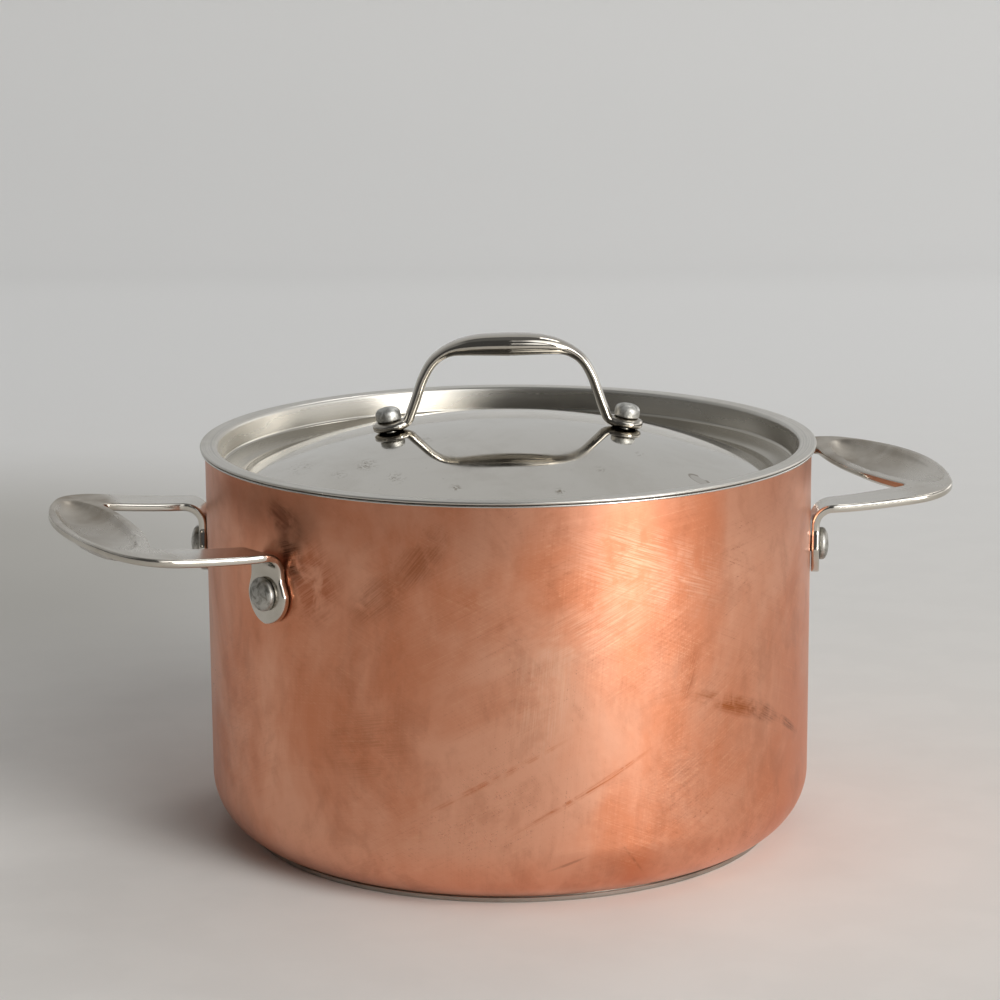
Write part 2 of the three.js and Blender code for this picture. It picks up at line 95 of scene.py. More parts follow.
# Sizes worked out from those above
FLOOR_TOP = BASE_THICKNESS + BOND_GAP
CORNER_CENTRE_RADIUS = BODY_RADIUS - CORNER_RADIUS
CORNER_CENTRE_HEIGHT = FLOOR_TOP + math.sqrt(CORNER_RADIUS ** 2 - (BASE_RADIUS - CORNER_CENTRE_RADIUS) ** 2)
LINING_INNER = BODY_RADIUS - COPPER_THICKNESS - BOND_GAP - LINING_THICKNESS
LIP_UNDER = COPPER_TOP + BOND_GAP
RIM_TOP = LIP_UNDER + LINING_THICKNESS
FLANGE_TOP = RIM_TOP + SEAT_GAP + LID_THICKNESS
DOME_CENTRE = FLANGE_TOP + DOME_CROWN - DOME_RADIUS
TAB_FACE = BODY_RADIUS + TAB_GAP + STRAP_THICKNESS
TAB_AZIMUTH = math.asin((GRIP_HALF_LENGTH - GRIP_OVERHANG) / TAB_FACE)


# Camera, solved from the rim, body, base and handles in the photograph.
# Lengths are in millimetres, and the clip distances in metres.

CAMERA_YAW = math.radians(19.8)
CAMERA_ELEVATION = math.radians(12.18)
CAMERA_ROLL = math.radians(-0.40)
CAMERA_DISTANCE = 1211.5
AIM_SIDESTEP = -3.38
AIM_HEIGHT = 131.55
LENS, SENSOR = 109.32, 36
CLIP_START, CLIP_END = 0.05, 30


def make_camera():
    """The photograph's own view."""
    level = math.cos(CAMERA_ELEVATION)
    right = Vector((math.cos(CAMERA_YAW), -math.sin(CAMERA_YAW), 0))
    ahead = Vector((math.sin(CAMERA_YAW) * level, math.cos(CAMERA_YAW) * level, -math.sin(CAMERA_ELEVATION)))
    up = right.cross(ahead)
    rolled_right = right * math.cos(CAMERA_ROLL) + up * math.sin(CAMERA_ROLL)
    rolled_up = up * math.cos(CAMERA_ROLL) - right * math.sin(CAMERA_ROLL)
    aim = right * AIM_SIDESTEP + Vector((0, 0, AIM_HEIGHT))
    place = (aim - ahead * CAMERA_DISTANCE) * MM
    camera = bpy.data.objects.new("camera", bpy.data.cameras.new("camera"))
    camera.data.sensor_width = SENSOR
    camera.data.lens = LENS
    camera.data.clip_start = CLIP_START
    camera.data.clip_end = CLIP_END
    basis = Matrix((rolled_right, rolled_up, -ahead)).transposed().to_4x4()
    camera.matrix_world = Matrix.Translation(place) @ basis
    bpy.context.scene.collection.objects.link(camera)
    bpy.context.scene.camera = camera


# Numbers and lines

def lerp(a, b, share):
    return a + (b - a) * share


def shares(steps):
    """Even shares from 0 to 1."""
    return [k / steps for k in range(steps + 1)]


def ticks(end, steps):
    """Even steps from 0 to an end, which may be an angle or a length."""
    return [end * k / steps for k in range(steps + 1)]


def smooth_row(values, share):
    """Catmull-Rom reading of a row of numbers at a share from 0 to 1."""
    last = len(values) - 1
    t = min(max(share, 0), 1) * last
    i = min(int(t), last - 1)
    t -= i
    p1, p2 = values[i], values[i + 1]
    p0 = values[i - 1] if i else 2 * p1 - p2
    p3 = values[i + 2] if i + 2 <= last else 2 * p2 - p1
    return 0.5 * (2 * p1 + (p2 - p0) * t + (2 * p0 - 5 * p1 + 4 * p2 - p3) * t ** 2
                  + (3 * p1 - p0 - 3 * p2 + p3) * t ** 3)


def bezier(points, t):
    row = [Vector(p) for p in points]
    while len(row) > 1:
        row = [a.lerp(b, t) for a, b in zip(row, row[1:])]
    return row[0]


def bent_line(corners, steps=8):
    """A line through corners of (radius, height, bend radius), each corner rounded by its bend."""
    line = []
    for i, (r, z, bend) in enumerate(corners):
        here = Vector((r, z))
        if not bend or i in (0, len(corners) - 1):
            line.append(here)
            continue
        back = (Vector(corners[i - 1][:2]) - here).normalized()
        on = (Vector(corners[i + 1][:2]) - here).normalized()
        half = back.angle(on) / 2
        reach = bend / math.tan(half)
        centre = here + (back + on).normalized() * (bend / math.sin(half))
        start, end = here + back * reach, here + on * reach
        for share in shares(steps):
            chord = start.lerp(end, share) - centre
            line.append(centre + chord.normalized() * bend)
    return line


def offset_line(line, distance):
    """The line moved sideways, to the right of its direction."""
    moved = []
    for i, here in enumerate(line):
        into = here - line[max(i - 1, 0)]
        out = line[min(i + 1, len(line) - 1)] - here
        into = into if into.length else out.copy()
        out = out if out.length else into.copy()
        along = (into.normalized() + out.normalized()).normalized()
        stretch = max(along.dot(out.normalized()), 0.5)
        moved.append(Vector((here.x + along.y * distance / stretch, here.y - along.x * distance / stretch)))
    return moved


# Mesh tools

def mesh_piece(name, points, faces, sharp):
    """A smooth-shaded object from points in millimetres, creased where faces turn by the sharp angle."""
    mesh = bpy.data.meshes.new(name)
    mesh.from_pydata([(x * MM, y * MM, z * MM) for x, y, z in points], [], faces)
    mesh.validate()
    mesh.shade_smooth()
    mesh.set_sharp_from_angle(angle=math.radians(sharp))
    piece = bpy.data.objects.new(name, mesh)
    bpy.context.scene.collection.objects.link(piece)
    return piece


def outward(piece):
    """Turns the faces outwards if the closed mesh is inside out."""
    mesh = piece.data
    mesh.calc_loop_triangles()
    volume = 0
    for tri in mesh.loop_triangles:
        a, b, c = (mesh.vertices[i].co for i in tri.vertices)
        volume += a.dot(b.cross(c))
    if volume < 0:
        mesh.flip_normals()
    return piece


def turned(name, profile, segments=192, sharp=40, place=None):
    """A closed (radius, height) profile turned round the Z axis."""
    points, rings = [], []
    for r, z in profile:
        if r < 1e-6:
            rings.append([len(points)])
            points.append(Vector((0, 0, z)))
            continue
        rings.append(list(range(len(points), len(points) + segments)))
        for k in range(segments):
            a = 2 * math.pi * k / segments
            points.append(Vector((r * math.cos(a), r * math.sin(a), z)))
    faces = []
    for one, two in zip(rings, rings[1:] + rings[:1]):
        if len(one) == 1 and len(two) == 1:
            continue
        for k in range(segments):
            n = (k + 1) % segments
            if len(one) == 1:
                faces.append((one[0], two[n], two[k]))
            elif len(two) == 1:
                faces.append((one[k], one[n], two[0]))
            else:
                faces.append((one[k], one[n], two[n], two[k]))
    if place:
        points = [place @ p for p in points]
    return outward(mesh_piece(name, points, faces, sharp))


def loft(name, sections, sharp=60):
    """Skins a row of closed sections of equal point count, with both ends capped."""
    count = len(sections[0])
    points = [p for section in sections for p in section]
    faces = []
    for s in range(len(sections) - 1):
        for k in range(count):
            n = (k + 1) % count
            a, b = s * count + k, s * count + n
            faces.append((a, b, b + count, a + count))
    last = (len(sections) - 1) * count
    faces.append(tuple(reversed(range(count))))
    faces.append(tuple(range(last, last + count)))
    return outward(mesh_piece(name, points, faces, sharp))


def settle(piece, material, body, slot, *nodes):
    """Gives a piece its material and its body, and hides the CAD nodes that it stands for. The slot is not
    used.
    """
    piece.data.materials.append(material)
    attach(piece, body)
    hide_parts(*nodes)


# Body

# Bend and depth of the lining's mouth under the rim, and how far in the rim's flat top starts
MOUTH_BEND = 1.4
MOUTH_DEPTH = 2.8
LIP_SETBACK = 0.3
# Steps round a rolled or cut sheet edge
SHEET_EDGE_STEPS = 8
# A groove turned in the underside (radius, height), and a step at the base's top edge (inset, drop)
BASE_GROOVE = ((93.8, 0), (94.4, 0.25), (95, 0))
BASE_STEP = ((0, 0.55), (0.15, 0.4), (1.2, 0.35), (1.2, 0))
CORNER_STEPS, WALL_STEPS, BASE_EDGE_STEPS = 18, 6, 5


def cup_line(inset, floor, top):
    """From the middle of a floor, round the corner and up the wall, a distance inside the copper's face."""
    arc = CORNER_RADIUS - inset
    start = math.asin((CORNER_CENTRE_HEIGHT - floor) / arc)
    line = [(0, floor)]
    for share in shares(CORNER_STEPS):
        a = start * (1 - share)
        line.append((CORNER_CENTRE_RADIUS + arc * math.cos(a), CORNER_CENTRE_HEIGHT - arc * math.sin(a)))
    height = top - CORNER_CENTRE_HEIGHT
    for rise in ticks(height, WALL_STEPS)[1:]:
        line.append((BODY_RADIUS - inset, CORNER_CENTRE_HEIGHT + rise))
    return line


def lining_profile():
    """Up the lining's outside, round its lip, in over the rim and down its inside."""
    inset = COPPER_THICKNESS + BOND_GAP
    floor = FLOOR_TOP + inset
    outer = cup_line(inset, floor, LIP_UNDER)
    inner = cup_line(inset + LINING_THICKNESS, floor + LINING_THICKNESS, LIP_UNDER)[:-1]
    middle = (LIP_UNDER + RIM_TOP) / 2
    half = (RIM_TOP - LIP_UNDER) / 2
    lip_centre = BODY_RADIUS + LIP_OVERHANG - half
    lip = [(lip_centre + half * math.sin(a), middle - half * math.cos(a))
           for a in ticks(math.pi, SHEET_EDGE_STEPS)]
    mouth = bent_line([
        (lip_centre - LIP_SETBACK, RIM_TOP, 0),
        (LINING_INNER, RIM_TOP, MOUTH_BEND),
        (LINING_INNER, RIM_TOP - MOUTH_DEPTH, 0)])
    return outer + lip + mouth + inner[::-1]


def base_profile():
    edge = [(BASE_RADIUS - BASE_EDGE + BASE_EDGE * math.sin(a), BASE_EDGE - BASE_EDGE * math.cos(a))
            for a in ticks(QUARTER, BASE_EDGE_STEPS)]
    step = [(BASE_RADIUS - inset, BASE_THICKNESS - drop) for inset, drop in BASE_STEP]
    return [(0, 0), *BASE_GROOVE, *edge, *step, (0, BASE_THICKNESS)]


def make_body(copper, lining_steel, base_steel):
    outside = cup_line(0, FLOOR_TOP, COPPER_TOP)
    inside = cup_line(COPPER_THICKNESS, FLOOR_TOP + COPPER_THICKNESS, COPPER_TOP)
    settle(turned("copper_wall", outside + inside[::-1]), copper, "pot", "copper", "copper_shell")
    settle(turned("steel_liner", lining_profile()), lining_steel, "pot", "brushed_steel", "steel_lining")
    settle(turned("base_disc", base_profile()), base_steel, "pot", "brushed_steel", "base_plate")


# Lid

DOME_STEPS = 40
PRESSED_BEND_STEPS = 10


def lid_face():
    """The lid's upper face, from the middle of the dome out to the flange's edge."""
    wall_top = LINING_INNER - LID_PLUG_GAP - LID_THICKNESS
    wall_foot = wall_top - LID_WALL_DRAFT
    gutter = wall_foot - LID_GUTTER_WIDTH
    edge_angle = math.asin((gutter - LID_GUTTER_BEND) / DOME_RADIUS)
    dome = [Vector((DOME_RADIUS * math.sin(a), DOME_CENTRE + DOME_RADIUS * math.cos(a)))
            for a in ticks(edge_angle, DOME_STEPS)]
    rise = bent_line([
        (*dome[-1], 0),
        (gutter, FLANGE_TOP - LID_GUTTER_DEPTH, LID_GUTTER_BEND),
        (wall_foot, FLANGE_TOP - LID_WALL_HEIGHT, LID_LEDGE_BEND),
        (wall_top, FLANGE_TOP, LID_FLANGE_BEND),
        (BODY_RADIUS + LID_OVERHANG - LID_THICKNESS / 2, FLANGE_TOP, 0)], PRESSED_BEND_STEPS)
    return dome + rise[1:]


def make_lid(steel):
    face = lid_face()
    back = offset_line(face, LID_THICKNESS)
    back[0].x = 0
    half = LID_THICKNESS / 2
    edge_centre = BODY_RADIUS + LID_OVERHANG - half
    edge = [(edge_centre + half * math.sin(a), FLANGE_TOP - half + half * math.cos(a))
            for a in ticks(math.pi, SHEET_EDGE_STEPS)[1:-1]]
    place = Matrix.Rotation(LID_TURN, 4, "Z")
    piece = turned("lid_plate", face + edge + back[::-1], place=place)
    settle(piece, steel, "lid_body", "brushed_steel", "lid")


# Lid handle

# The half arch from its foot to its top, as shares of the half span and of the rise, and its swelling
ARCH_SHARES = (
    (1.01, 0.008), (0.988, 0.034), (0.971, 0.073), (0.959, 0.118), (0.918, 0.26), (0.881, 0.404),
    (0.841, 0.553), (0.789, 0.691), (0.736, 0.788), (0.669, 0.865), (0.567, 0.936), (0.43, 0.977),
    (0.249, 0.997), (0, 1))
SWELL_SHARES = (0, 0, 0, 0, 0, 0, 0, 0, 0.02, 0.06, 0.22, 0.6, 0.88, 1)
ARCH_STEPS = 78
# Sections follow a superellipse: nearly round at the leg, squarer in the grip, changing above the foot
LEG_POWER, GRIP_POWER = 0.95, 0.75
POWER_RATE = 6
# The eye's stations: how many, how crowded towards its round end, and the shares of its length they cover
EYE_STEPS = 18
EYE_CROWDING = 1.6
EYE_FIRST_SHARE, EYE_COVERED_SHARE = 0.002, 0.86
# Towards its round end the eye thins to a share of its thickness, over a first share of its length
EYE_RIM_SHARE, EYE_THINNED_SHARE = 0.3, 0.22
EYE_UNDER_GAP = 0.06
EYE_CROWN = 0.2


def arch_stations():
    """The half arch from the eye's round end to the top: x, z, width, thickness and power of each station."""
    under = DOME_RADIUS + EYE_UNDER_GAP
    over = DOME_RADIUS + SEAT_GAP + EYE_THICKNESS + EYE_CROWN
    ride = (under + over) / 2
    eye_end = LID_RIVET_REACH + EYE_RADIUS
    stations = []
    for along in shares(EYE_STEPS - 1):
        share = EYE_COVERED_SHARE * along ** EYE_CROWDING + EYE_FIRST_SHARE
        reach = eye_end - share * (eye_end - ARCH_SPAN)
        a = math.asin(reach / DOME_RADIUS)
        off = reach - LID_RIVET_REACH
        chord = 2 * math.sqrt(max(EYE_RADIUS ** 2 - off ** 2, 0))
        width = chord if off > 0 else lerp(LEG_WIDTH, 2 * EYE_RADIUS, chord / (2 * EYE_RADIUS))
        edge = 1 - min(share / EYE_THINNED_SHARE, 1)
        thickness = (over - under) * lerp(EYE_RIM_SHARE, 1, math.sqrt(1 - edge ** 2))
        stations.append((ride * math.sin(a), DOME_CENTRE + ride * math.cos(a), width, thickness, LEG_POWER))
    foot = DOME_CENTRE + math.sqrt(ride ** 2 - ARCH_SPAN ** 2)
    rise = ARCH_TOP - GRIP_HEIGHT / 2 - foot
    xs = [ARCH_SPAN * s for s, _ in ARCH_SHARES]
    zs = [foot + rise * s for _, s in ARCH_SHARES]
    for share in shares(ARCH_STEPS):
        swell = min(max(smooth_row(SWELL_SHARES, share), 0), 1)
        stations.append((
            max(smooth_row(xs, share), 0), smooth_row(zs, share),
            lerp(LEG_WIDTH, GRIP_WIDTH, swell), lerp(LEG_THICKNESS, GRIP_HEIGHT, swell),
            lerp(LEG_POWER, GRIP_POWER, min(share * POWER_RATE, 1))))
    return stations


def arch_section(x, z, along, width, thickness, power, count=40):
    up = Vector((-along.z, 0, along.x))
    section = []
    for k in range(count):
        a = 2 * math.pi * (k + 0.5) / count
        c, s = math.cos(a), math.sin(a)
        across = math.copysign(abs(c) ** power, c) * width / 2
        lift = math.copysign(abs(s) ** power, s) * thickness / 2
        section.append(Vector((x, 0, z)) + up * lift + Vector((0, across, 0)))
    return section


def make_lid_handle(steel):
    half = arch_stations()
    row = half + [(-x, *rest) for x, *rest in reversed(half[:-1])]
    sections = []
    turn = Matrix.Rotation(LID_TURN, 4, "Z")
    for i, (x, z, *shape) in enumerate(row):
        before, after = row[max(i - 1, 0)], row[min(i + 1, len(row) - 1)]
        along = Vector((after[0] - before[0], 0, after[1] - before[1])).normalized()
        sections.append([turn @ p for p in arch_section(x, z, along, *shape)])
    settle(loft("lid_arch", sections), steel, "lid_body", "polished_steel", "lid_handle")


# Rivets

# Radii of head, shank and tail, heights of head, its rim and tail, and the power of the head's roundness
WALL_RIVET = {
    "head": 6.45, "rim": 1.2, "height": 3.75, "power": 0.95,
    "shank": 3.2, "tail": 5.8, "tail_height": 2}
LID_RIVET = {
    "head": 5, "rim": 2.2, "height": 5.2, "power": 0.8,
    "shank": 2.5, "tail": 4.6, "tail_height": 1.5}
WALL_HEAD_GAP = 0.05
WALL_TAIL_SINK = 0.6
# The rounding under a head: at most a size, and a share of its rim, with a point between its ends
HEAD_EDGE, HEAD_EDGE_SHARE = 0.45, 0.6
HEAD_EDGE_POINT = (0.35, 0.3)
CROWN_STEPS, TAIL_STEPS = 12, 6


def rivet_profile(seat, tail_seat, head, rim, height, power, shank, tail, tail_height):
    """Closed profile of a rivet about local Z, from the head's crown to the tail's crown."""
    crown = height - rim
    edge = min(HEAD_EDGE, rim * HEAD_EDGE_SHARE)
    line = [(0, seat + height)]
    for share in shares(CROWN_STEPS)[1:]:
        a = QUARTER * (1 - share)
        line.append((head * math.cos(a) ** power, seat + rim + crown * math.sin(a) ** power))
    line += [(head, seat + edge), (head - edge * HEAD_EDGE_POINT[0], seat + edge * HEAD_EDGE_POINT[1]),
             (head - edge, seat), (shank, seat), (shank, tail_seat), (tail, tail_seat)]
    for a in ticks(QUARTER, TAIL_STEPS)[1:]:
        line.append((tail * math.cos(a), tail_seat - tail_height * (1 + 2 * math.sin(a)) / 3))
    line[-1] = (0, line[-1][1])
    return line


def make_rivet(name, profile, place, steel, body):
    piece = turned(name + "_head", profile, segments=48, sharp=50, place=place)
    settle(piece, steel, body, "dull_rivet", name)


def make_rivets(wall_steel, lid_steel):
    tail_seat = math.sqrt(LINING_INNER ** 2 - WALL_RIVET["tail"] ** 2) - WALL_TAIL_SINK
    profile = rivet_profile(TAB_FACE + WALL_HEAD_GAP, tail_seat, **WALL_RIVET)
    azimuths = {
        "right_front_rivet": -TAB_AZIMUTH, "right_back_rivet": TAB_AZIMUTH,
        "left_front_rivet": math.pi + TAB_AZIMUTH, "left_back_rivet": math.pi - TAB_AZIMUTH}
    for name, azimuth in azimuths.items():
        place = (Matrix.Translation((0, 0, RIVET_HEIGHT)) @ Matrix.Rotation(azimuth, 4, "Z")
                 @ Matrix.Rotation(QUARTER, 4, "Y"))
        make_rivet(name, profile, place, wall_steel, "pot")
    profile = rivet_profile(
        DOME_RADIUS + EYE_THICKNESS + 2 * SEAT_GAP, DOME_RADIUS - LID_THICKNESS - SEAT_GAP, **LID_RIVET)
    lean = math.asin(LID_RIVET_REACH / DOME_RADIUS)
    for name, side in (("lid_left_rivet", -1), ("lid_right_rivet", 1)):
        place = (Matrix.Rotation(LID_TURN, 4, "Z") @ Matrix.Translation((0, 0, DOME_CENTRE))
                 @ Matrix.Rotation(side * lean, 4, "Y"))
        make_rivet(name, profile, place, lid_steel, "lid_body")


# Side handles

# Corners of the loop: shares of the reach, or of the finger gap inside, and of the grip's half length
OUTER_CORNER_SHARES = ((0.43, 0.955), (0.611, 0.988), (0.754, 0.915), (0.835, 0.75))
INNER_CORNER_SHARES = ((0.978, 0.652), (1.16, 0.668), (1.122, 0.592))
TAB_WAIST_SHARES = (1, 0.91, 0.81, 0.79)
RISE_POWER = 1.45
# The bowl is between half an ellipsoid with a steep edge, at 0, and a paraboloid with a soft one
BOWL_SOFTNESS = 0.2
# The tab's round foot starts just short of its lowest point
FOOT_SHARE = 0.985
FOOT_STEPS, TAB_STEPS, BEND_STEPS = 16, 12, 14
STRAP_STEPS, CORNER_CURVE_STEPS, GRIP_STEPS = 14, 24, 48


def bowl_drop(x, y):
    centre = BODY_RADIUS + lerp(FINGER_GAP, HANDLE_REACH, BOWL_CENTRE_SHARE)
    inside = 1 - ((x - centre) / BOWL_HALF_WIDTH) ** 2 - (y / BOWL_HALF_LENGTH) ** 2
    if inside <= 0:
        return 0
    return BOWL_DEPTH * (1 + BOWL_SOFTNESS) * inside / (math.sqrt(inside) + BOWL_SOFTNESS)


def strap_top(x):
    share = max((x - BODY_RADIUS) / HANDLE_REACH, 0)
    return HANDLE_TOP + GRIP_RISE * share ** RISE_POWER


def bar_section(inner, outer, normal, across_count=30, arc_steps=5):
    """A bar's section between two edge points, with rounded edges."""
    across = outer - inner
    width = across.length
    edge = min(STRAP_EDGE, width / 3)
    across.normalize()
    half = STRAP_THICKNESS / 2
    rounding = ticks(QUARTER, arc_steps)
    flat = shares(across_count - 1)
    places = [(edge - edge * math.cos(a), half - edge + edge * math.sin(a)) for a in rounding[:-1]]
    places += [(lerp(edge, width - edge, share), half) for share in flat]
    places += [(width - edge + edge * math.sin(a), half - edge + edge * math.cos(a)) for a in rounding[1:]]
    places += [(width - edge + edge * math.cos(a), edge - half - edge * math.sin(a)) for a in rounding[:-1]]
    places += [(lerp(width - edge, edge, share), -half) for share in flat]
    places += [(edge - edge * math.sin(a), edge - half - edge * math.cos(a)) for a in rounding[1:]]
    return [inner + across * distance + normal * lift for distance, lift in places]


def leg_sections():
    """Sections of the +Y leg from the tab's rounded foot up round the bend, and the bend's two end points."""
    middle = BODY_RADIUS + TAB_GAP + STRAP_THICKNESS / 2
    out = Vector((math.cos(TAB_AZIMUTH), math.sin(TAB_AZIMUTH), 0))
    across = Vector((-out.y, out.x, 0))
    foot = out * middle
    bend = BEND_RADIUS + STRAP_THICKNESS / 2
    bend_height = HANDLE_TOP - STRAP_THICKNESS / 2 - bend
    sections = []

    def put(centre, tilt, width):
        """Adds a section, wrapped to the pot's wall as far as it stands upright."""
        normal = Vector((0, 0, math.cos(tilt))) - out * math.sin(tilt)
        section = bar_section(centre - across * width / 2, centre + across * width / 2, normal)
        back = BODY_RADIUS + TAB_GAP
        sections.append([
            p - out * math.sin(tilt) * (back - math.sqrt(back ** 2 - p.dot(across) ** 2)) for p in section])

    for k in range(FOOT_STEPS):
        a = QUARTER * (FOOT_SHARE - FOOT_SHARE * k / FOOT_STEPS)
        height = RIVET_HEIGHT - TAB_FOOT_DEPTH * math.sin(a)
        put(foot + Vector((0, 0, height)), QUARTER, 2 * TAB_HALF_WIDTH * math.cos(a))
    for share in shares(TAB_STEPS)[:-1]:
        height = lerp(RIVET_HEIGHT, bend_height, share)
        put(foot + Vector((0, 0, height)), QUARTER, 2 * TAB_HALF_WIDTH * smooth_row(TAB_WAIST_SHARES, share))
    waist = 2 * TAB_HALF_WIDTH * TAB_WAIST_SHARES[-1]
    for share in shares(BEND_STEPS)[:-1]:
        tilt = QUARTER * (1 - share)
        height = bend_height + bend * math.cos(tilt)
        centre = foot + out * bend * (1 - math.sin(tilt)) + Vector((0, 0, height))
        put(centre, tilt, lerp(waist, STRAP_WIDTH, share))
    end = foot + out * bend
    return sections, end - across * STRAP_WIDTH / 2, end + across * STRAP_WIDTH / 2


def loop_sections(inner_start, outer_start):
    """Sections of the flat loop from the bend's end to the middle of the grip."""
    reach = [(BODY_RADIUS + x * HANDLE_REACH, y * GRIP_HALF_LENGTH) for x, y in OUTER_CORNER_SHARES]
    gap = [(BODY_RADIUS + x * FINGER_GAP, y * GRIP_HALF_LENGTH) for x, y in INNER_CORNER_SHARES]
    inner_start, outer_start = inner_start.to_2d(), outer_start.to_2d()
    inner_end, outer_end = Vector(gap[-1]), Vector(reach[-1])
    inner_tip, outer_tip = BODY_RADIUS + FINGER_GAP, BODY_RADIUS + HANDLE_REACH
    pairs = []
    for share in shares(STRAP_STEPS)[:-1]:
        pairs.append((inner_start.lerp(Vector(gap[0]), share), outer_start.lerp(Vector(reach[0]), share)))
    for share in shares(CORNER_CURVE_STEPS)[:-1]:
        pairs.append((bezier(gap, share), bezier(reach, share)))
    for share in shares(GRIP_STEPS):
        left = 1 - share
        pairs.append((
            Vector((inner_tip + (inner_end.x - inner_tip) * left ** 2, inner_end.y * left)),
            Vector((outer_tip - (outer_tip - outer_end.x) * left ** 2, outer_end.y * left))))
    sections = []
    for pair in pairs:
        inner, outer = (Vector((p.x, p.y, strap_top(p.x) - STRAP_THICKNESS / 2)) for p in pair)
        section = bar_section(inner, outer, Vector((0, 0, 1)))
        sections.append([p - Vector((0, 0, bowl_drop(p.x, p.y))) for p in section])
    return sections


def make_side_handles(steel):
    legs, inner_start, outer_start = leg_sections()
    half = legs + loop_sections(inner_start, outer_start)
    row = half + [[Vector((p.x, -p.y, p.z)) for p in section] for section in reversed(half[:-1])]
    turn = Matrix.Rotation(math.pi, 4, "Z")
    for side, sections in (("right", row), ("left", [[turn @ p for p in section] for section in row])):
        piece = loft(side + "_stamped_handle", sections)
        settle(piece, steel, "pot", "polished_steel", side + "_handle")


# Node tools

def linear(r, g, b):
    """An 8-bit screen colour as a linear colour."""
    def one(v):
        v /= 255
        return v / 12.92 if v <= 0.04045 else ((v + 0.055) / 1.055) ** 2.4
    return (one(r), one(g), one(b), 1)


class Graph:
    """Short calls for building a node tree. Each value is a number or a node's output."""

    def __init__(self, tree):
        self.tree = tree

    def node(self, kind):
        return self.tree.nodes.new("ShaderNode" + kind)

    def link(self, value, socket):
        if isinstance(value, bpy.types.NodeSocket):
            self.tree.links.new(value, socket)
        else:
            socket.default_value = value

    def link_row(self, values, node):
        for value, socket in zip(values, node.inputs):
            self.link(value, socket)
        return node.outputs[0]

    def math(self, operation, a, b=0.0, clamp=False):
        node = self.node("Math")
        node.operation = operation
        node.use_clamp = clamp
        return self.link_row((a, b), node)

    def sum(self, *values):
        total = values[0]
        for value in values[1:]:
            total = self.math("ADD", total, value)
        return total

    def minus(self, a, b, clamp=False):
        return self.math("SUBTRACT", a, b, clamp)

    def times(self, *values):
        total = values[0]
        for value in values[1:]:
            total = self.math("MULTIPLY", total, value)
        return total

    def size(self, value):
        return self.math("ABSOLUTE", value)

    def ramp(self, value, low, high, out_low=0.0, out_high=1.0):
        """A smooth step from one output at the low value to another at the high one."""
        node = self.node("MapRange")
        node.interpolation_type = "SMOOTHSTEP"
        return self.link_row((value, low, high, out_low, out_high), node)

    def dot(self, vector, other):
        node = self.node("VectorMath")
        node.operation = "DOT_PRODUCT"
        self.link_row((vector, other), node)
        return node.outputs["Value"]

    def length(self, vector):
        node = self.node("VectorMath")
        node.operation = "LENGTH"
        self.link_row((vector,), node)
        return node.outputs["Value"]

    def split(self, vector):
        node = self.node("SeparateXYZ")
        self.link_row((vector,), node)
        return node.outputs

    def join(self, x, y, z=0.0):
        return self.link_row((x, y, z), self.node("CombineXYZ"))

    def mapping(self, vector, kind, scale=(1, 1, 1), turn=0.0, move=(0, 0, 0)):
        node = self.node("Mapping")
        node.vector_type = kind
        return self.link_row((vector, move, (0, 0, turn), scale), node)


class Surface(Graph):
    """A material of one Principled shader, metal unless told otherwise."""

    def __init__(self, name, metallic=1.0):
        self.material = bpy.data.materials.new(name)
        self.material.use_nodes = True
        super().__init__(self.material.node_tree)
        self.tree.nodes.clear()
        self.shader = self.node("BsdfPrincipled")
        self.put("Metallic", metallic)
        self.tree.links.new(self.shader.outputs[0], self.node("OutputMaterial").inputs[0])
        coordinates = self.node("TexCoord")
        self.place = coordinates.outputs["Object"]
        self.normal = coordinates.outputs["Normal"]

    def put(self, name, value):
        self.link(value, self.shader.inputs[name])

    def noise(self, vector, scale, detail, roughness=0.5, distortion=0.0):
        """Fractal noise from 0 to 1, with a scale in features per unit of the vector."""
        node = self.node("TexNoise")
        self.link(vector, node.inputs["Vector"])
        node.inputs["Scale"].default_value = scale
        node.inputs["Detail"].default_value = detail
        node.inputs["Roughness"].default_value = roughness
        node.inputs["Distortion"].default_value = distortion
        return node.outputs["Fac"]

    def stretch(self, vector, scale=(1, 1, 1), move=(0, 0, 0)):
        return self.mapping(vector, "POINT", scale, 0.0, move)

    def streaks(self, flat, length, width, slant, seed, detail):
        """Noise drawn out along a slant, with features of a length and a width in metres."""
        drawn = self.mapping(flat, "TEXTURE", (length, width, 1), slant, (seed, seed * 0.7, 0))
        return self.noise(drawn, 1.0, detail, 0.6)

    def spot(self, vector, centre, half_sizes, slant=0.0, soft=0.0):
        """1 in the soft share of an ellipse, falling to 0 at its edge. The ellipse has no end along Z."""
        inside = self.mapping(vector, "TEXTURE", (*half_sizes, 1000), slant, (*centre, 0))
        return self.ramp(self.length(inside), 1.0, soft)

    def mix(self, share, a, b):
        node = self.node("Mix")
        node.data_type = "RGBA"
        for value, socket in ((share, 0), (a, 6), (b, 7)):
            self.link(value, node.inputs[socket])
        return node.outputs[2]

    def tint(self, share, colour, tone):
        """Mixes a screen colour in."""
        return self.mix(share, colour, linear(*tone))

    def bump(self, height, distance):
        """Raises the surface by a distance in metres where the height is 1."""
        node = self.node("Bump")
        self.link(height, node.inputs["Height"])
        node.inputs["Strength"].default_value = 1.0
        node.inputs["Distance"].default_value = distance
        self.put("Normal", node.outputs[0])


# Copper

# Azimuth that the unrolled wall is centred on, and the angles from it over which lines fade at the seam
FRONT = math.radians(-110)
SEAM_START, SEAM_END = 3.0, 3.1

